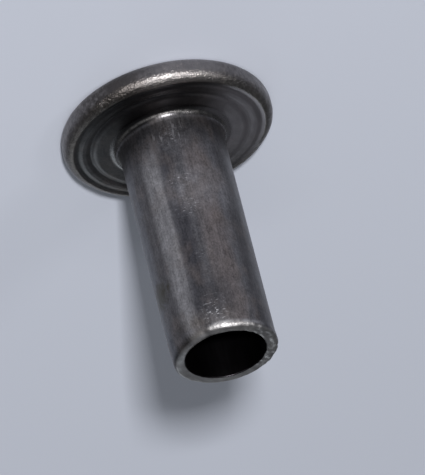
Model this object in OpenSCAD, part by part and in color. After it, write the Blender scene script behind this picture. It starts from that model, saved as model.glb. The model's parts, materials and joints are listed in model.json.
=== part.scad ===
// Tubular rivet: one cold-headed steel piece with a flat head, a round rim and a deep blind bore.
// Millimetres. The rivet stands on the flat outer face of its head, at z = 0, on the Z axis,
// and +Z runs along the shank to the open end.

/* [Head] */
// Diameter of the head over its rounded rim
head_d = 10; // [9:0.1:14]
// Thickness of the head at the rim
rim_t = 1.22; // [1.21:0.01:1.24]
// Rounding of both edges of the rim
edge_r = 0.5; // [0.2:0.05:0.6]
// Thickness of the head at the raised seat around the shank
head_t = 1.3; // [1.28:0.01:1.6]

/* [Rings under the head] */
// Distance from the edge of the head in to the middle of the outer groove
rim_w = 0.62; // [0.55:0.01:0.7]
// Distance from the middle of the outer groove in to the middle of the inner groove
ring_pitch = 0.6; // [0.5:0.01:0.7]
// Width of each groove
groove_w = 0.36; // [0.2:0.01:0.4]
// Depth of each groove below the ring between them
groove_depth = 0.06; // [0.05:0.01:0.1]
// Thickness of the head at the ring between the grooves
ring_t = 1.25; // [1.22:0.01:1.27]
// Rounding of the shoulder at the outer edge of the seat
seat_edge_r = 0.4; // [0.1:0.05:0.5]

/* [Shank] */
// Diameter of the shank
shank_d = 4.95; // [3:0.05:5.6]
// Length of the shank from the seat to the open end
shank_l = 12; // [8:0.5:20]
// Fillet between the seat and the shank
fillet_r = 0.45; // [0.1:0.05:0.5]

/* [Bore] */
// Wall of the tube
wall_t = 0.57; // [0.35:0.01:1]
// Metal between the outer face of the head and the tip of the bore
floor_t = 1.45; // [0.8:0.05:5]
// Included angle of the conical bottom of the bore
tip_angle = 120; // [90:5:150]

/* [Lip of the open end] */
// Rounding of the outer edge of the lip
lip_outer_r = 0.13; // [0.05:0.01:0.25]
// Rounding of the inner edge of the lip
lip_inner_r = 0.05; // [0.02:0.01:0.25]

/* [Hidden] */
$fn = 128;

// Radii of the head, from the rim in to the seat
head_r = head_d / 2;
outer_groove_r = head_r - rim_w;
inner_groove_r = outer_groove_r - ring_pitch;

// The seat's shoulder is an arc that leaves the seat level and runs down into the inner groove,
// at the ring's height a third of the groove's width inside its middle
shoulder_r = inner_groove_r - groove_w / 3;
seat_rise = head_t - ring_t;
shoulder_w = sqrt(max(0, pow(seat_edge_r, 2) - pow(seat_edge_r - seat_rise, 2)));
seat_flat_r = shoulder_r - shoulder_w;

// Radius of the circle that cuts a groove of this width and depth
groove_cut_r = (pow(groove_w / 2, 2) + pow(groove_depth, 2)) / (2 * groove_depth);

// Radii and heights of the shank and its bore
shank_r = shank_d / 2;
bore_r = shank_r - wall_t;
end_z = head_t + shank_l;
bore_bottom_z = floor_t + bore_r / tan(tip_angle / 2);

// Rounding of the rim, limited by its thickness
edge_round = min(edge_r, rim_t / 2);
edge_axis_r = head_r - edge_round;

// Roundings of the lip, limited by the wall that they share
outer_round = min(lip_outer_r, wall_t / 2);
inner_round = min(lip_inner_r, wall_t / 2);
lip_z = end_z - outer_round;
mouth_z = end_z - inner_round;

// Rim with both edges rounded, outside the disc of the head
module rim_section() {
    intersection() {
        translate([edge_axis_r, 0]) square([edge_round, rim_t]);
        union() {
            translate([edge_axis_r, edge_round]) circle(r = edge_round);
            translate([edge_axis_r, rim_t - edge_round]) circle(r = edge_round);
            translate([edge_axis_r, edge_round]) square([edge_round, rim_t - 2 * edge_round]);
        }
    }
}

// Disc of the head, with the ring between the grooves a little higher than the rim
module disc_section() {
    square([edge_axis_r, rim_t]);
    square([outer_groove_r, ring_t]);
}

// Seat around the shank, with a soft shoulder at its outer edge
module seat_section() {
    square([seat_flat_r, head_t]);
    translate([seat_flat_r, head_t - seat_edge_r]) circle(r = seat_edge_r);
}

// Round-bottomed groove in the underside of the head
module groove_section(radius) {
    translate([radius, ring_t - groove_depth + groove_cut_r]) circle(r = groove_cut_r);
}

// Straight shank with a rounded lip
module shank_section() {
    square([shank_r, lip_z]);
    square([shank_r - outer_round, end_z]);
    translate([shank_r - outer_round, lip_z]) circle(r = outer_round);
}

// Fillet in the corner between the seat and the shank
module fillet_section() {
    difference() {
        square([shank_r + fillet_r, head_t + fillet_r]);
        translate([shank_r + fillet_r, head_t + fillet_r]) circle(r = fillet_r);
    }
}

// Blind bore with a conical bottom and a rounded mouth
module bore_section() {
    difference() {
        polygon([
            [0, floor_t],
            [bore_r, bore_bottom_z],
            [bore_r, mouth_z],
            [bore_r + inner_round, end_z],
            [0, end_z]
        ]);
        translate([bore_r + inner_round, mouth_z]) circle(r = inner_round);
    }
}

// The whole rivet, turned from its half section
module rivet() {
    color("#5b5856") rotate_extrude() difference() {
        union() {
            difference() {
                union() {
                    rim_section();
                    disc_section();
                }
                groove_section(outer_groove_r);
                groove_section(inner_groove_r);
            }
            seat_section();
            fillet_section();
            shank_section();
        }
        bore_section();
    }
}

rivet();
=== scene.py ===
import json
import math

import bpy
import numpy as np
from mathutils import Matrix, Vector, noise


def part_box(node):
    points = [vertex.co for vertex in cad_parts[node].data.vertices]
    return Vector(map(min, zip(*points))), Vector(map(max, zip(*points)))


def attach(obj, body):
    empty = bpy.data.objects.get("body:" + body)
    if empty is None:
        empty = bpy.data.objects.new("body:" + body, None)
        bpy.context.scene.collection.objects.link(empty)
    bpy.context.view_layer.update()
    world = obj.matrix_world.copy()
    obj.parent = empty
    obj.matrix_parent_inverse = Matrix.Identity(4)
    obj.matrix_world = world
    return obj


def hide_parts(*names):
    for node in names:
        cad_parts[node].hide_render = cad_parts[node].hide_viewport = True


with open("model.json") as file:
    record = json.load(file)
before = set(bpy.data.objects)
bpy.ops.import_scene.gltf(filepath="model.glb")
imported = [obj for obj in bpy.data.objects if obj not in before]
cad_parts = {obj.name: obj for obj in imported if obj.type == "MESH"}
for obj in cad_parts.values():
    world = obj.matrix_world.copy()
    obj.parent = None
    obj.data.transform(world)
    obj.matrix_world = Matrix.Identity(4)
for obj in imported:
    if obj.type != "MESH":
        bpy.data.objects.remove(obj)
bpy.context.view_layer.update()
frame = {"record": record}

# Sizes in millimetres, from the frame where it states them
MM = 1000.0
MOUNTS = {mount["name"]: mount for mount in frame["record"]["mounts"]}
HEAD_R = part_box("rivet")[1][0] * MM
END_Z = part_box("rivet")[1][2] * MM
SEAT_Z = MOUNTS["seat"]["pos_m"][2] * MM
SHANK_R = MOUNTS["shank"]["dims"]["r_mm"]
BORE_R = MOUNTS["bore"]["dims"]["r_mm"]
RIM_T = 1.22
EDGE_R = 0.5
RIM_W = 0.62
RING_PITCH = 0.6
GROOVE_W = 0.36
GROOVE_DEPTH = 0.06
RING_T = 1.25
SHOULDER_R = 0.4
FILLET_R = 0.45
FLOOR_T = 1.45
TIP_ANGLE = 120.0
LIP_OUTER_R = 0.13
LIP_INNER_R = 0.05

CREST_R = HEAD_R - EDGE_R
OUTER_GROOVE_R = HEAD_R - RIM_W
INNER_GROOVE_R = OUTER_GROOVE_R - RING_PITCH
GROOVE_CUT_R = ((GROOVE_W / 2) ** 2 + GROOVE_DEPTH ** 2) / (2 * GROOVE_DEPTH)
SHOULDER_W = math.sqrt(SHOULDER_R ** 2 - (SHOULDER_R - SEAT_Z + RING_T) ** 2)
SEAT_R = INNER_GROOVE_R - GROOVE_W / 3 - SHOULDER_W
TOE_R = SHANK_R + FILLET_R
FILLET_Z = SEAT_Z + FILLET_R
WALL_T = SHANK_R - BORE_R

# Points around the rivet, and along each part of its half section
SIDES = 256
FACE_POINTS = 7
EDGE_POINTS = 16
SIDE_POINTS = 3
RIM_POINTS = 18
UNDER_POINTS = 80
FILLET_POINTS = 16
SHANK_POINTS = 164
LIP_OUTER_POINTS = 12
LIP_TOP_POINTS = 12
LIP_INNER_POINTS = 6
BORE_POINTS = 26
TIP_POINTS = 8

# First ring on the outer face, end of the rim's arc in degrees, and softening of the underside's edges
FACE_START_R = 0.3
RIM_END = 62.0
UNDER_SOFT = 0.05
SOFT_STEPS = 5

# In this file a pair such as RIM_LUMPS_OUT holds two places: no effect at the first, all of it at the second.
# OUT and IN pairs are radii, and UP and DOWN pairs are heights above the head's outer face.

# Lumps: height, and how often they come per millimetre along all axes or each of them
RIM_LUMPS = ((0.014, 1.1), (0.007, 3.1))
UNDER_LUMPS = ((0.008, 1.7), (0.004, 4.0))
SHANK_LUMPS = ((0.006, (1.4, 1.4, 0.15)), (0.004, (4.5, 4.5, 0.3)))
END_LUMPS = ((0.022, (0.9, 0.9, 0.0)), (0.012, (3.0, 3.0, 0.0)))
BURR_LUMPS = ((0.035, (5.0, 5.0, 0.0)),)
BULGE_LUMPS = ((0.03, (4.0, 4.0, 0.0)),)
MOUTH_LUMPS = ((0.02, (1.5, 1.5, 0.0)), (0.01, (4.0, 4.0, 0.0)))
RIM_LUMPS_OUT = (HEAD_R - 0.65, HEAD_R - 0.3)
RIM_LUMPS_UP = (0.02, 0.3)
UNDER_LUMPS_OUT = (TOE_R - 0.025, TOE_R + 0.275)
UNDER_LUMPS_UP = (RIM_T - 0.32, RIM_T - 0.22)
SHANK_LUMPS_OUT = (SHANK_R - 0.175, SHANK_R - 0.075)
SHANK_LUMPS_IN = (SHANK_R + 0.2, SHANK_R)
SHANK_LUMPS_UP = (SEAT_Z + 0.1, SEAT_Z + 0.7)

# Small dents in a loose row: place in degrees as middle and spread, then ranges of the other sizes
DENT_SEED = 7
DENT_COUNT = 70
DENT_TURN = (-3, 6)
DENT_HEIGHTS = (SEAT_Z + 1.0, END_Z - 0.4)
DENT_HALF_WIDTHS = (0.06, 0.16)
DENT_HALF_HEIGHTS = (0.05, 0.09)
DENT_DEPTHS = (0.004, 0.012)

# Sides with wear: degrees to the picture's left, then cosines of the turn away from there, as a pair
FILLED_SIDE = (-80.214, 0.1, 0.7)
PUSHED_SIDE = (14.0, -0.1, 1.0)
ROUNDED_SIDE = (52.0, 0.5, 1.0)
RAGGED_SIDE = (-85.944, 0.3, 0.9)

# The inner groove is pressed less deep on one side: share, half width and soft edge
FILL_SHARE = 0.85
FILL_REACH = 0.24
FILL_EDGE = 0.08

# The lip: how far it is pushed in and over what length, how far it is rounded down, and how far it bulges
LIP_PUSH = 0.22
LIP_PUSH_LENGTH = 1.6
LIP_DROP = 0.15
LIP_LEFT_DROP = 0.3
LIP_BULGE = 0.03
LIP_LUMPS_UP = (END_Z - 0.5, END_Z - 0.1)
LIP_DROP_UP = (END_Z - 1.4, END_Z - 0.1)
LIP_BULGE_OUT = (SHANK_R - 0.3, SHANK_R - 0.1)

# The mouth of the bore is a little off the axis, in X and Y
MOUTH_SHIFT = (-0.02, 0.07)
MOUTH_SHIFT_IN = (SHANK_R - 0.1, SHANK_R - 0.5)
MOUTH_SHIFT_UP = (FLOOR_T + 1.2, END_Z)

# Where the material finds each surface
SHANK_IN = (SHANK_R + 0.25, SHANK_R + 0.05)
SHANK_UP = (SEAT_Z + 0.1, SEAT_Z + 0.9)
HEAD_DOWN = (SEAT_Z + 0.12, SEAT_Z + 0.02)
RIM_OUT = (HEAD_R - 0.5, HEAD_R - 0.38)
UNDER_IN = (HEAD_R - 0.38, HEAD_R - 0.5)
UNDER_UP = (RIM_T - 0.12, RIM_T - 0.05)
FILLET_IN = (TOE_R + 0.1, TOE_R - 0.1)
FILLET_DOWN = (SEAT_Z + 0.4, SEAT_Z + 0.2)
FILLET_UP = (SEAT_Z - 0.1, SEAT_Z)
LIP_OUT = (BORE_R, BORE_R + 0.06)
LIP_UP = (END_Z - 0.16, END_Z - 0.05)
# The near side of the lip, lighter from wear and with a painted highlight
WORN_LIP_AND_HIGHLIGHT_UP = (END_Z - 0.42, END_Z - 0.22)
MOUTH_IN = (BORE_R + 0.06, BORE_R + 0.03)
BORE_IN = (BORE_R + 0.16, BORE_R + 0.12)
BORE_DOWN = (END_Z - 0.1, END_Z - 0.2)
BORE_UP = (FLOOR_T - 0.15, FLOOR_T - 0.05)

# Noises of the material: how often they come per millimetre along each axis, and their detail
NOISES = {
    "uneven": ((2.2, 2.2, 0.6), 4.0),
    "streak": ((2.4, 2.4, 0.14), 3.0),
    "fine": ((11, 11, 0.7), 3.0),
    "blotch": ((1.1, 1.1, 0.7), 3.0),
    "cloud": ((3.2, 3.2, 2.4), 5.0),
    "grain": ((13, 13, 9), 3.0),
    "marks": ((4.5, 4.5, 11), 3.0),
    "specks": ((6.5, 6.5, 12), 2.0),
    "dashes": ((10, 10, 1.8), 2.0),
    "mottle": ((4, 4, 4), 4.0),
}
NOISE_MIDDLE = 0.5

# Below, a SIDE holds degrees to the picture's left and the reach in degrees, a LEVEL holds a height and
# its reach, a SHARE says how strong a tint is, and a FROM pair holds values of a noise.

# The shank: plain steel; lengthwise bands, partly streaks that the drawing left and partly painted
# reflections; a light patch; and painted shade near the end and near the head
STEEL_COLOUR = (0.122, 0.117, 0.121, 1)
# Painted reflections: light, dark, brown and bluish bands that stand in for surroundings mirrored in the
# shank, laid over the drawing streaks
BANDS = (
    (84, 30, 0.6, (0.12, 0.127, 0.144, 1)),
    (47, 14, 0.5, (0.08, 0.073, 0.07, 1)),
    (28, 17, 1.0, (0.3, 0.286, 0.28, 1)),
    (10, 13, 1.0, (0.055, 0.053, 0.058, 1)),
    (-23, 19, 0.75, (0.2, 0.168, 0.157, 1)),
    (-57, 13, 0.9, (0.06, 0.056, 0.058, 1)),
)
BANDS_UP = (2.3, 4.4)
UNEVEN_LEAST = 0.3
UNEVEN_RANGE = 1.2
PATCH_LEVEL = (5.6, 1.7)
PATCH_SIDE = (-20, 48)
PATCH_SHARE = 0.8
PATCH_COLOUR = (0.24, 0.23, 0.235, 1)
# Painted shade: a darker front near the end, and darker all round near the head, where the shank mirrors the
# head's dark underside
END_UP = (9.4, 11.8)
END_SIDE = (0, 34)
END_SHARE = 0.9
ROOT_DOWN = (3.4, 1.9)
ROOT_SHARE = 0.65
SHADE_COLOUR = (0.07, 0.067, 0.07, 1)

# Weathering: brown tints, the strength of each noise, and an olive stain low on the left of the shank
BROWN_FROM = (0.45, 0.7)
BROWN_SHARE = 0.4
BROWN_COLOUR = (0.16, 0.133, 0.12, 1)
TEXTURE = (("streak", 0.7), ("fine", 0.6), ("cloud", 0.9), ("grain", 1.2))
STAIN_TURN = 64.0
STAIN_Z = 10.1
STAIN_REACH = (0.95, 0.2)
STAIN_RAGGED = 1.8
STAIN_SHARE = 0.75
STAIN_COLOUR = (0.05, 0.043, 0.025, 1)

# Scuffs on the front of the shank, in clusters of height, reach and strength, and dashes near the head
SCUFFS = (
    (2.7, 0.9, 0.7),
    (5.1, 0.6, 1.0),
    (6.5, 0.8, 1.0),
    (9.2, 0.4, 0.4),
    (12.2, 1.2, 0.7),
)
SCUFF_SIDE = (-1, 17)
MARKS_FROM = (0.58, 0.7)
SPECKS_FROM = (0.64, 0.74)
DASH_LEVEL = (2.4, 1.2)
DASH_SIDE = (0, 26)
DASH_SHARE = 0.5
SCUFF_SHARE = 0.8
SCUFF_COLOUR = (0.5, 0.49, 0.5, 1)

# The rim: its colour; painted shade on its left and a painted highlight on its right, which move the
# highlight along the rim; and spots of wear, fewer on the left, where that also paints shade
RIM_SHARE = 0.5
RIM_COLOUR = (0.165, 0.152, 0.147, 1)
RIM_SHADE_AND_HIGHLIGHT = (
    (27, 28, 0.85, (0.07, 0.062, 0.058, 1)),
    (-19, 24, 0.45, (0.3, 0.281, 0.275, 1)),
)
RIM_WEAR_FROM = (0.42, 0.7)
RIM_WEAR_SHARE = 0.5
RIM_WEAR_COLOUR = (0.28, 0.26, 0.252, 1)
FEWER_WEAR_AND_SHADE_SIDE = (18, 15)
FEWER_WEAR_AND_SHADE_SHARE = 0.9

# The underside: painted shade in front, a dark bluish painted reflection on the left and a lighter painted
# reflection on the right, and darker grooves, less dark on the right
UNDER_SHADE_AND_REFLECTIONS = (
    (-85, 70, 0.75, (0.265, 0.25, 0.28, 1)),
    (75, 75, 0.55, (0.05, 0.055, 0.064, 1)),
    (8, 62, 0.92, (0.016, 0.015, 0.017, 1)),
)
DARK_GROOVE_REACH = 0.14
DARK_GROOVE_FROM = (0.2, 0.6)
DARK_GROOVE_SHARE = 0.6
DARK_GROOVE_COLOUR = (0.025, 0.026, 0.03, 1)
LIGHTER_GROOVE_SIDE = (-85, 70)
LIGHTER_GROOVE_SHARE = 0.8

# The fillet: painted shade in front, and a painted highlight, a thin light line, that is weaker in the middle
FILLET_SHADE = (
    (8, 62, 0.85, (0.03, 0.029, 0.031, 1)),
)
HIGHLIGHT_LINE_LEVEL = (1.44, 0.07)
HIGHLIGHT_LINE_SIDE = (6, 68)
HIGHLIGHT_LINE_FROM = (0.25, 0.6)
HIGHLIGHT_LINE_COLOUR = (0.42, 0.4, 0.39, 1)
HIGHLIGHT_LINE_DIM_SIDE = (3, 30)
HIGHLIGHT_LINE_DIM_SHARE = 0.65

# The lip, its near side, lighter from wear and with a painted highlight, and the bore
LIP_LEAST = 0.35
LIP_RANGE = 0.8
LIP_COLOUR = (0.37, 0.365, 0.38, 1)
WORN_LIP_AND_HIGHLIGHT_SIDE = (-19, 46)
WORN_LIP_AND_HIGHLIGHT_FROM = (0.2, 0.7)
WORN_LIP_AND_HIGHLIGHT_COLOUR = (0.4, 0.39, 0.39, 1)
BORE_COLOUR = (0.022, 0.02, 0.023, 1)

# Roughness: its least, what noises add and what the smoother surfaces take off
ROUGH_LEAST = 0.3
ROUGH_BLOTCH = 0.16
ROUGH_FINE = 0.1
SMOOTH_BORE = 0.1
SMOOTH_RIM = 0.1
SMOOTH_FILLET = 0.16

# Relief: the unit in metres, and how many units each noise raises the surface that it works on
RELIEF_UNIT = 3e-6
RELIEF_FINE = 1.2
RELIEF_GRAIN = 0.8
RELIEF_RIM_MOTTLE = 7.0
RELIEF_RIM_GRAIN = 13.0
RELIEF_LIP_GRAIN = 3.0
RELIEF_SCUFF = -1.5

# Floor: half side in metres, and its look
FLOOR_HALF = 3.0
FLOOR_COLOUR = (0.5, 0.525, 0.6, 1)
FLOOR_ROUGHNESS = 0.9

# Lights: degrees to the picture's left, degrees up, distance, width and height in millimetres,
# radiance and colour
WHITE = (1, 1, 1)
COOL = (0.9, 0.97, 1.0)
LIGHTS = {
    "main": (-4.6, 28.2, 600, 42, 42, 930.0, WHITE),
    "side": (-48, 28.0, 600, 110, 110, 9.0, WHITE),
    "key": (0, 57, 400, 220, 50, 5.2, WHITE),
    "back": (160, 22, 400, 160, 140, 1.6, COOL),
}
WORLD_COLOUR = (0.92, 0.96, 1.0, 1)
WORLD_STRENGTH = 0.13

# Camera, from a fit to the photograph: angles in degrees, distance, aim, lens and sensor in millimetres
CAMERA_ELEVATION = 32.075
CAMERA_ROLL = 165.426
CAMERA_DISTANCE = 490.68
CAMERA_AIM = (-0.766, 0, 7.032)
CAMERA_LENS = 804.64
CAMERA_SENSOR = 36.0
CLIP_START_M = 0.005
CLIP_END_M = 20.0


def line(start, end, count):
    """Points from start up to, but not at, end."""
    step = ((end[0] - start[0]) / count, (end[1] - start[1]) / count)
    return [(start[0] + step[0] * i, start[1] + step[1] * i) for i in range(count)]


def arc(centre, radius, first, last, count):
    """Points on a circle from the first angle up to, but not at, the last, in degrees."""
    points = []
    for i in range(count):
        angle = math.radians(first + (last - first) * i / count)
        points.append((centre[0] + radius * math.cos(angle), centre[1] + radius * math.sin(angle)))
    return points


def under_height(radius):
    """Height of the head's underside before its edges are softened."""
    if radius <= SEAT_R:
        return SEAT_Z
    height = RING_T if radius < OUTER_GROOVE_R else RIM_T
    if radius > CREST_R:
        height = RIM_T - EDGE_R + math.sqrt(max(0.0, EDGE_R ** 2 - (radius - CREST_R) ** 2))
    for middle in (OUTER_GROOVE_R, INNER_GROOVE_R):
        offset = abs(radius - middle)
        if offset < GROOVE_CUT_R:
            floor = RING_T - GROOVE_DEPTH + GROOVE_CUT_R
            height = min(height, floor - math.sqrt(GROOVE_CUT_R ** 2 - offset ** 2))
    if radius < SEAT_R + SHOULDER_R:
        shoulder = math.sqrt(SHOULDER_R ** 2 - (radius - SEAT_R) ** 2)
        height = max(height, SEAT_Z - SHOULDER_R + shoulder)
    return height


def under_section(first, last, count):
    """The underside between two radii, with its edges softened."""
    offsets = [UNDER_SOFT * k / SOFT_STEPS for k in range(-SOFT_STEPS, SOFT_STEPS + 1)]
    points = []
    for i in range(count):
        radius = first + (last - first) * i / count
        near = [under_height(radius + offset) for offset in offsets]
        points.append((radius, sum(near) / len(near)))
    return points


def rivet_section():
    """Half section from the middle of the outer face round to the tip of the bore."""
    rim_end_r = CREST_R + EDGE_R * math.cos(math.radians(RIM_END))
    lip_z = END_Z - LIP_OUTER_R
    lip_outer_r = SHANK_R - LIP_OUTER_R
    mouth_z = END_Z - LIP_INNER_R
    mouth_r = BORE_R + LIP_INNER_R
    bottom_z = FLOOR_T + BORE_R / math.tan(math.radians(TIP_ANGLE / 2))
    points = line((FACE_START_R, 0), (CREST_R, 0), FACE_POINTS)
    points += arc((CREST_R, EDGE_R), EDGE_R, -90, 0, EDGE_POINTS)
    points += line((HEAD_R, EDGE_R), (HEAD_R, RIM_T - EDGE_R), SIDE_POINTS)
    points += arc((CREST_R, RIM_T - EDGE_R), EDGE_R, 0, RIM_END, RIM_POINTS)
    points += under_section(rim_end_r, TOE_R, UNDER_POINTS)
    points += arc((TOE_R, FILLET_Z), FILLET_R, 270, 180, FILLET_POINTS)
    points += line((SHANK_R, FILLET_Z), (SHANK_R, lip_z), SHANK_POINTS)
    points += arc((lip_outer_r, lip_z), LIP_OUTER_R, 0, 90, LIP_OUTER_POINTS)
    points += line((lip_outer_r, END_Z), (mouth_r, END_Z), LIP_TOP_POINTS)
    points += arc((mouth_r, mouth_z), LIP_INNER_R, 90, 180, LIP_INNER_POINTS)
    points += line((BORE_R, mouth_z), (BORE_R, bottom_z), BORE_POINTS)
    points += line((BORE_R, bottom_z), (0, FLOOR_T), TIP_POINTS)
    return np.array(points)


def ease(values, low, high):
    """Smooth step from 0 at low to 1 at high."""
    share = np.clip((values - low) / (high - low), 0, 1)
    return share * share * (3 - 2 * share)


def facing(angle, degrees, low, high):
    """Smooth step over the cosine of the turn away from a side, at degrees to the picture's left."""
    return ease(np.cos(angle - math.radians(degrees)), low, high)


def lumps(points, layers):
    """Smooth noise at points in millimetres, summed over layers of height and scale."""
    total = np.zeros(len(points))
    for height, scale in layers:
        scaled = points * np.asarray(scale)
        total += height * np.array([noise.noise(Vector(point)) for point in scaled])
    return total


def dents(angle, height):
    """Depth of small dents in a loose row along the side of the shank that faces the camera."""
    chance = np.random.default_rng(DENT_SEED)
    depth = np.zeros_like(angle)
    for _ in range(DENT_COUNT):
        middle = math.radians(chance.normal(*DENT_TURN))
        level = chance.uniform(*DENT_HEIGHTS)
        half_width = chance.uniform(*DENT_HALF_WIDTHS)
        half_height = chance.uniform(*DENT_HALF_HEIGHTS)
        deep = chance.uniform(*DENT_DEPTHS)
        across = np.angle(np.exp(1j * (angle - middle))) * SHANK_R / half_width
        along = (height - level) / half_height
        depth += deep * np.exp(-across ** 2 - along ** 2)
    return depth


def surface_move(points, angle, radius, height):
    """How far lumps, dents and the shallower groove move the surface along its normal."""
    on_rim = ease(radius, *RIM_LUMPS_OUT) * ease(height, *RIM_LUMPS_UP)
    raised = ease(height, *UNDER_LUMPS_UP)
    on_under = ease(radius, *UNDER_LUMPS_OUT) * (1 - on_rim) * raised
    on_shank = ease(radius, *SHANK_LUMPS_IN) * ease(radius, *SHANK_LUMPS_OUT) * ease(height, *SHANK_LUMPS_UP)
    move = on_rim * lumps(points, RIM_LUMPS)
    move += on_under * lumps(points, UNDER_LUMPS)
    move += on_shank * lumps(points, SHANK_LUMPS)
    move -= on_shank * dents(angle, height)
    in_groove = ease(FILL_REACH - np.abs(radius - INNER_GROOVE_R), 0, FILL_EDGE) * raised
    filled = FILL_SHARE * facing(angle, *FILLED_SIDE)
    move += filled * in_groove * np.maximum(0, RING_T - height)
    return move


def worn_lip(points, angle, radius, height):
    """Radius and height with the lip pushed in, rounded and ragged, and each point's share in the mouth."""
    at_lip = ease(height, *LIP_LUMPS_UP)
    pushed = facing(angle, *PUSHED_SIDE)
    ragged = facing(angle, *RAGGED_SIDE)
    across = np.clip((radius - BORE_R) / WALL_T, 0, 1)
    along = np.clip((height - END_Z + LIP_PUSH_LENGTH) / LIP_PUSH_LENGTH, 0, 1)
    radius = radius - LIP_PUSH * pushed * across * along ** 2
    drop = LIP_DROP * pushed + LIP_LEFT_DROP * facing(angle, *ROUNDED_SIDE)
    rounded = drop * (1 - np.sqrt(1 - across ** 2))
    height = height - rounded * ease(height, *LIP_DROP_UP)
    height = height + at_lip * (lumps(points, END_LUMPS) + ragged * lumps(points, BURR_LUMPS))
    bulge = LIP_BULGE + lumps(points, BULGE_LUMPS)
    radius = radius + at_lip * ease(radius, *LIP_BULGE_OUT) * ragged * bulge
    inner = ease(radius, *MOUTH_SHIFT_IN) * ease(height, *MOUTH_SHIFT_UP)
    radius = radius + inner * at_lip * lumps(points, MOUTH_LUMPS)
    return radius, height, inner


def round_points(radius, angle, height):
    """Points from radius, angle from the camera's side towards the picture's left, and height."""
    return np.stack([radius * np.sin(angle), -radius * np.cos(angle), height], axis=1)


def worn_points(section):
    """The section turned all round, with lumps, dents and an uneven lip, in millimetres."""
    run = np.gradient(section, axis=0)
    run = run / np.linalg.norm(run, axis=1, keepdims=True)
    radius = np.repeat(section[:, 0], SIDES)
    height = np.repeat(section[:, 1], SIDES)
    out = np.repeat(run[:, 1], SIDES)
    up = np.repeat(-run[:, 0], SIDES)
    angle = np.tile(np.arange(SIDES) * 2 * math.pi / SIDES, len(section))
    points = round_points(radius, angle, height)
    move = surface_move(points, angle, radius, height)
    radius, height, inner = worn_lip(points, angle, radius + out * move, height + up * move)
    moved = round_points(radius, angle, height)
    moved[:, 0] += MOUTH_SHIFT[0] * inner
    moved[:, 1] += MOUTH_SHIFT[1] * inner
    return moved


def build_rivet():
    """One closed mesh turned from the half section."""
    section = rivet_section()
    rows = len(section)
    poles = np.array([(0, 0, 0), (0, 0, FLOOR_T)])
    points = np.concatenate([worn_points(section), poles]) / MM
    faces = []
    for row in range(rows - 1):
        for side in range(SIDES):
            here = row * SIDES + side
            beside = row * SIDES + (side + 1) % SIDES
            faces.append((here, beside, beside + SIDES, here + SIDES))
    last = (rows - 1) * SIDES
    for side in range(SIDES):
        beside = (side + 1) % SIDES
        faces.append((rows * SIDES, beside, side))
        faces.append((last + side, last + beside, rows * SIDES + 1))
    mesh = bpy.data.meshes.new("rivet_body")
    mesh.from_pydata(points.tolist(), [], faces)
    mesh.validate()
    mesh.polygons.foreach_set("use_smooth", [True] * len(mesh.polygons))
    mesh.update()
    piece = bpy.data.objects.new("rivet_body", mesh)
    bpy.context.scene.collection.objects.link(piece)
    return piece


class Nodes:
    """Adds shader nodes to a material and joins them."""

    def __init__(self, name):
        self.material = bpy.data.materials.new(name)
        self.material.use_nodes = True
        self.tree = self.material.node_tree
        self.shader = self.tree.nodes["Principled BSDF"]

    def put(self, socket, value):
        """A link from another node, or a plain value."""
        if isinstance(value, bpy.types.NodeSocket):
            self.tree.links.new(value, socket)
        else:
            socket.default_value = value

    def add(self, kind, values, **settings):
        """A new node with values for its inputs, by name or number."""
        node = self.tree.nodes.new(kind)
        for key, setting in settings.items():
            setattr(node, key, setting)
        for key, value in values.items():
            self.put(node.inputs[key], value)
        return node

    def math(self, operation, first, second=0.0):
        """Result of a math node."""
        return self.add("ShaderNodeMath", {0: first, 1: second}, operation=operation).outputs[0]

    def times(self, *values):
        """Product of several values."""
        result = values[0]
        for value in values[1:]:
            result = self.math("MULTIPLY", result, value)
        return result

    def total(self, start, *parts):
        """A start value plus several values, each times its strength."""
        result = start
        for value, strength in parts:
            result = self.math("ADD", result, self.times(value, strength))
        return result

    def step(self, value, low, high):
        """Smooth step from 0 at low to 1 at high."""
        values = {"Value": value, "From Min": low, "From Max": high}
        node = self.add("ShaderNodeMapRange", values, interpolation_type="SMOOTHSTEP")
        return node.outputs[0]

    def near(self, value, middle, reach):
        """1 at the middle, falling to 0 at the reach on both sides."""
        distance = self.math("ABSOLUTE", self.math("SUBTRACT", value, middle))
        return self.step(distance, reach, 0.0)

    def mix(self, share, first, second):
        """Colour between two colours."""
        node = self.add("ShaderNodeMix", {0: share, 6: first, 7: second}, data_type="RGBA")
        return node.outputs[2]

    def stretch(self, vector, scale):
        """A vector multiplied along each axis."""
        return self.add("ShaderNodeVectorMath", {0: vector, 1: scale}, operation="MULTIPLY").outputs[0]

    def scale(self, colour, factor):
        """A colour made lighter or darker."""
        return self.add("ShaderNodeVectorMath", {0: colour, "Scale": factor}, operation="SCALE").outputs[0]

    def length(self, vector):
        """Length of a vector."""
        return self.add("ShaderNodeVectorMath", {0: vector}, operation="LENGTH").outputs["Value"]

    def distance(self, first, second):
        """Distance between two points."""
        return self.add("ShaderNodeVectorMath", {0: first, 1: second}, operation="DISTANCE").outputs["Value"]

    def noise(self, vector, scale, detail):
        """Noise between 0 and 1."""
        values = {"Vector": self.stretch(vector, scale), "Scale": 1.0, "Detail": detail}
        return self.add("ShaderNodeTexNoise", values).outputs[0]


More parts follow.
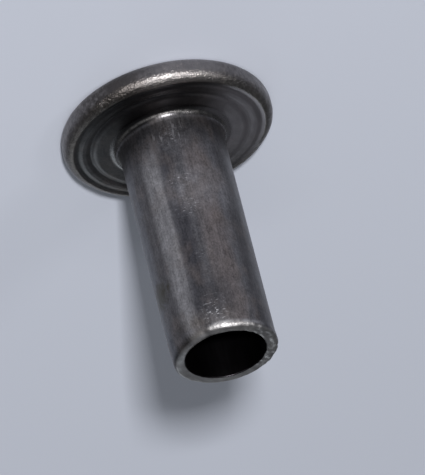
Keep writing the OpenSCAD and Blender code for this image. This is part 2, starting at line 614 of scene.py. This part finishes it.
class Steel(Nodes):
    """The rivet's steel: its noises, where each surface is, and the colour so far."""

    def __init__(self, name):
        super().__init__(name)
        place = self.add("ShaderNodeTexCoord", {}).outputs["Object"]
        self.point = self.stretch(place, (MM, MM, MM))
        split = self.add("ShaderNodeSeparateXYZ", {0: self.point})
        self.x = split.outputs[0]
        self.y = split.outputs[1]
        self.z = split.outputs[2]
        self.flat = self.stretch(self.point, (1, 1, 0))
        self.radius = self.length(self.flat)
        self.noises = {}
        for key, (scale, detail) in NOISES.items():
            self.noises[key] = self.noise(self.point, scale, detail)
        self.find_surfaces()
        self.colour = STEEL_COLOUR

    def find_surfaces(self):
        """Values that are 1 on one surface and 0 elsewhere."""
        radius = self.radius
        z = self.z
        self.on_shank = self.times(self.step(radius, *SHANK_IN), self.step(z, *SHANK_UP))
        on_head = self.step(z, *HEAD_DOWN)
        self.on_rim = self.times(on_head, self.step(radius, *RIM_OUT))
        self.on_under = self.times(on_head, self.step(z, *UNDER_UP), self.step(radius, *UNDER_IN))
        fillet_height = self.times(self.step(z, *FILLET_DOWN), self.step(z, *FILLET_UP))
        self.in_fillet = self.times(self.step(radius, *FILLET_IN), fillet_height)
        self.on_lip = self.times(self.step(z, *LIP_UP), self.step(radius, *LIP_OUT))
        # Where the lip's wear and its painted highlight go
        self.on_worn_lip_and_highlight = self.times(self.step(z, *WORN_LIP_AND_HIGHLIGHT_UP), self.around(*WORN_LIP_AND_HIGHLIGHT_SIDE))
        at_mouth = self.step(self.distance(self.flat, (*MOUTH_SHIFT, 0)), *MOUTH_IN)
        inside = self.times(self.step(radius, *BORE_IN), self.step(z, *BORE_DOWN))
        self.in_bore = self.times(self.math("MAXIMUM", at_mouth, inside), self.step(z, *BORE_UP))

    def around(self, degrees, reach):
        """1 on the side at this angle to the picture's left, falling to 0 at the reach in degrees."""
        turn = math.radians(degrees)
        across = self.math("MULTIPLY", self.x, math.sin(turn))
        toward = self.math("MULTIPLY", self.y, -math.cos(turn))
        share = self.math("DIVIDE", self.math("ADD", across, toward), self.radius)
        return self.step(share, math.cos(math.radians(reach)), 1.0)

    def except_side(self, degrees, reach, share):
        """1 everywhere but on one side, where it falls by a share."""
        return self.math("SUBTRACT", 1.0, self.times(self.around(degrees, reach), share))

    def tint(self, share, colour):
        """Mixes a colour into the colour so far."""
        self.colour = self.mix(share, self.colour, colour)

    def tint_sides(self, where, tints):
        """Mixes colours into the sides of a surface: degrees, reach, strength and colour of each."""
        for degrees, reach, strength, colour in tints:
            self.tint(self.times(where, self.around(degrees, reach), strength), colour)


def tint_shank(steel):
    """Lengthwise bands, partly drawing streaks and partly painted reflections, a light patch, and painted
    shade at the ends.
    """
    uneven = steel.math("ADD", UNEVEN_LEAST, steel.times(steel.noises["uneven"], UNEVEN_RANGE))
    # Painted reflections in lengthwise bands, over the drawing streaks
    streaks_and_reflections = steel.times(steel.on_shank, steel.step(steel.z, *BANDS_UP), uneven)
    steel.tint_sides(streaks_and_reflections, BANDS)
    patch = steel.times(steel.near(steel.z, *PATCH_LEVEL), steel.around(*PATCH_SIDE))
    steel.tint(steel.times(patch, steel.on_shank, uneven, PATCH_SHARE), PATCH_COLOUR)
    # Painted shade on the front near the end and all round near the head
    end = steel.times(steel.step(steel.z, *END_UP), steel.around(*END_SIDE))
    steel.tint(steel.times(end, steel.on_shank, uneven, END_SHARE), SHADE_COLOUR)
    root = steel.step(steel.z, *ROOT_DOWN)
    steel.tint(steel.times(root, steel.on_shank, ROOT_SHARE), SHADE_COLOUR)


def weather(steel):
    """Brown tints, then clouds, grain and fine streaks over all of it, and an olive stain."""
    brown = steel.step(steel.noises["blotch"], *BROWN_FROM)
    steel.tint(steel.times(brown, BROWN_SHARE), BROWN_COLOUR)
    texture = 1.0
    for key, strength in TEXTURE:
        change = steel.math("SUBTRACT", steel.noises[key], NOISE_MIDDLE)
        texture = steel.total(texture, (change, strength))
    steel.colour = steel.scale(steel.colour, texture)
    turn = math.radians(STAIN_TURN)
    stain_at = (SHANK_R * math.sin(turn), -SHANK_R * math.cos(turn), STAIN_Z)
    ragged = steel.math("SUBTRACT", steel.noises["cloud"], NOISE_MIDDLE)
    offset = steel.total(steel.distance(steel.point, stain_at), (ragged, STAIN_RAGGED))
    steel.tint(steel.times(steel.step(offset, *STAIN_REACH), STAIN_SHARE), STAIN_COLOUR)


def add_scuffs(steel):
    """Short bright marks across the front of the shank, and dashes near the head. Returns where they are."""
    clusters = 0.0
    for middle, reach, strength in SCUFFS:
        cluster = steel.times(steel.near(steel.z, middle, reach), strength)
        clusters = steel.math("MAXIMUM", clusters, cluster)
    marks = steel.step(steel.noises["marks"], *MARKS_FROM)
    specks = steel.step(steel.noises["specks"], *SPECKS_FROM)
    marks = steel.times(steel.math("MAXIMUM", marks, specks), clusters, steel.around(*SCUFF_SIDE))
    dashes = steel.step(steel.noises["dashes"], *MARKS_FROM)
    dashes = steel.times(dashes, steel.near(steel.z, *DASH_LEVEL), steel.around(*DASH_SIDE), DASH_SHARE)
    scuff = steel.times(steel.math("MAXIMUM", marks, dashes), steel.on_shank)
    steel.tint(steel.times(scuff, SCUFF_SHARE), SCUFF_COLOUR)
    return scuff


def tint_head(steel):
    """Wear on the rim with painted shade and a painted highlight on its sides, painted shade and painted
    reflections on the underside with darker grooves, and painted shade and a painted highlight line in the
    fillet.
    """
    cloud = steel.noises["cloud"]
    steel.tint(steel.times(steel.on_rim, RIM_SHARE), RIM_COLOUR)
    # Painted shade on the rim's left and a painted highlight on its right
    steel.tint_sides(steel.on_rim, RIM_SHADE_AND_HIGHLIGHT)
    wear = steel.times(steel.on_rim, steel.step(steel.noises["mottle"], *RIM_WEAR_FROM), RIM_WEAR_SHARE)
    # Fewer spots of wear on the left: partly wear, partly painted shade on the end of the rim's highlight
    steel.tint(steel.times(wear, steel.except_side(*FEWER_WEAR_AND_SHADE_SIDE, FEWER_WEAR_AND_SHADE_SHARE)), RIM_WEAR_COLOUR)
    # Painted shade in front and painted reflections at the sides of the underside
    steel.tint_sides(steel.on_under, UNDER_SHADE_AND_REFLECTIONS)
    outer_groove = steel.near(steel.radius, OUTER_GROOVE_R, DARK_GROOVE_REACH)
    inner_groove = steel.near(steel.radius, INNER_GROOVE_R, DARK_GROOVE_REACH)
    groove = steel.times(steel.math("MAXIMUM", outer_groove, inner_groove), steel.on_under)
    # Darker in the grooves, less so on the right
    darker_grooves = steel.times(groove, steel.step(cloud, *DARK_GROOVE_FROM), DARK_GROOVE_SHARE)
    steel.tint(steel.times(darker_grooves, steel.except_side(*LIGHTER_GROOVE_SIDE, LIGHTER_GROOVE_SHARE)), DARK_GROOVE_COLOUR)
    # Painted shade in front of the fillet, which dims its highlight
    steel.tint_sides(steel.in_fillet, FILLET_SHADE)
    # A painted highlight: a thin light line along the fillet, weaker in the middle
    highlight_line = steel.times(steel.in_fillet, steel.near(steel.z, *HIGHLIGHT_LINE_LEVEL), steel.around(*HIGHLIGHT_LINE_SIDE))
    highlight_line = steel.times(highlight_line, steel.step(cloud, *HIGHLIGHT_LINE_FROM))
    steel.tint(steel.times(highlight_line, steel.except_side(*HIGHLIGHT_LINE_DIM_SIDE, HIGHLIGHT_LINE_DIM_SHARE)), HIGHLIGHT_LINE_COLOUR)


def tint_end(steel):
    """Bare metal on the lip, lighter metal from wear on its near side that also paints in a highlight, and a
    dark bore.
    """
    cloud = steel.noises["cloud"]
    bare = steel.total(LIP_LEAST, (cloud, LIP_RANGE))
    steel.tint(steel.times(steel.on_lip, bare), LIP_COLOUR)
    # Lighter metal from wear on the near side of the lip, which also paints in the highlight there
    wear_and_highlight = steel.step(cloud, *WORN_LIP_AND_HIGHLIGHT_FROM)
    steel.tint(steel.times(steel.on_worn_lip_and_highlight, wear_and_highlight), WORN_LIP_AND_HIGHLIGHT_COLOUR)
    steel.tint(steel.in_bore, BORE_COLOUR)


def steel_material():
    """Dark steel with drawing streaks, stains and scuffs, painted reflections in bands along the shank,
    painted shade and painted highlights on the shank, head and lip, and darker grooves.
    """
    steel = Steel("dark_steel")
    tint_shank(steel)
    weather(steel)
    scuff = add_scuffs(steel)
    tint_head(steel)
    tint_end(steel)
    fine = steel.noises["fine"]
    grain = steel.noises["grain"]
    rough = steel.total(
        ROUGH_LEAST,
        (steel.noises["blotch"], ROUGH_BLOTCH),
        (fine, ROUGH_FINE),
        (steel.in_bore, -SMOOTH_BORE),
        (steel.on_rim, -SMOOTH_RIM),
        (steel.in_fillet, -SMOOTH_FILLET),
    )
    relief = steel.total(
        0.0,
        (fine, RELIEF_FINE),
        (grain, RELIEF_GRAIN),
        (steel.times(steel.noises["mottle"], steel.on_rim), RELIEF_RIM_MOTTLE),
        (steel.times(grain, steel.on_rim), RELIEF_RIM_GRAIN),
        (steel.times(grain, steel.on_worn_lip_and_highlight), RELIEF_LIP_GRAIN),
        (scuff, RELIEF_SCUFF),
    )
    bump = steel.add("ShaderNodeBump", {"Height": relief, "Distance": RELIEF_UNIT, "Strength": 1.0})
    steel.put(steel.shader.inputs["Base Color"], steel.colour)
    steel.put(steel.shader.inputs["Metallic"], 1.0)
    steel.put(steel.shader.inputs["Roughness"], rough)
    steel.put(steel.shader.inputs["Normal"], bump.outputs[0])
    return steel.material


def build_floor():
    """Plain pale floor under the head."""
    half = FLOOR_HALF
    mesh = bpy.data.meshes.new("floor")
    corners = [(-half, -half, 0), (half, -half, 0), (half, half, 0), (-half, half, 0)]
    mesh.from_pydata(corners, [], [(0, 1, 2, 3)])
    floor = bpy.data.objects.new("floor", mesh)
    bpy.context.scene.collection.objects.link(floor)
    nodes = Nodes("pale_floor")
    nodes.put(nodes.shader.inputs["Base Color"], FLOOR_COLOUR)
    nodes.put(nodes.shader.inputs["Roughness"], FLOOR_ROUGHNESS)
    nodes.put(nodes.shader.inputs["Specular IOR Level"], 0.0)
    mesh.materials.append(nodes.material)


def softbox(name, left, elevation, distance, width, height, radiance, colour):
    """Area light that faces the rivet. left is degrees from the camera's side to the picture's left."""
    data = bpy.data.lights.new(name, "AREA")
    data.shape = "RECTANGLE"
    data.size = width / MM
    data.size_y = height / MM
    data.energy = radiance * math.pi * data.size * data.size_y
    data.color = colour
    light = bpy.data.objects.new(name, data)
    bpy.context.scene.collection.objects.link(light)
    turn = math.radians(left)
    rise = math.radians(elevation)
    out = Vector((math.sin(turn) * math.cos(rise), -math.cos(turn) * math.cos(rise), math.sin(rise)))
    light.location = Vector((0, 0, END_Z / 2 / MM)) + out * distance / MM
    light.rotation_mode = "QUATERNION"
    light.rotation_quaternion = (-out).to_track_quat("-Z", "Y")
    light.visible_camera = False


def build_camera():
    """Camera at the photograph's angle, rolled so that the head is at the top of the picture."""
    elevation = math.radians(CAMERA_ELEVATION)
    roll = math.radians(CAMERA_ROLL)
    away = Vector((0, math.cos(elevation), -math.sin(elevation)))
    level = Vector((1, 0, 0))
    upright = level.cross(away)
    right = level * math.cos(roll) + upright * math.sin(roll)
    up = upright * math.cos(roll) - level * math.sin(roll)
    data = bpy.data.cameras.new("camera")
    data.lens = CAMERA_LENS
    data.sensor_width = CAMERA_SENSOR
    data.clip_start = CLIP_START_M
    data.clip_end = CLIP_END_M
    camera = bpy.data.objects.new("camera", data)
    turned = Matrix((right, up, -away)).transposed().to_4x4()
    turned.translation = (Vector(CAMERA_AIM) - away * CAMERA_DISTANCE) / MM
    camera.matrix_world = turned
    bpy.context.scene.collection.objects.link(camera)
    bpy.context.scene.camera = camera


def build_world():
    """Even soft light from all round."""
    world = bpy.data.worlds.new("studio")
    world.use_nodes = True
    background = world.node_tree.nodes["Background"]
    background.inputs["Color"].default_value = WORLD_COLOUR
    background.inputs["Strength"].default_value = WORLD_STRENGTH
    bpy.context.scene.world = world


bpy.context.scene.view_settings.view_transform = "Standard"
rivet = build_rivet()
rivet.data.materials.append(steel_material())
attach(rivet, "root")
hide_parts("rivet")
build_floor()
build_world()
for light_name, light_values in LIGHTS.items():
    softbox(light_name, *light_values)
build_camera()
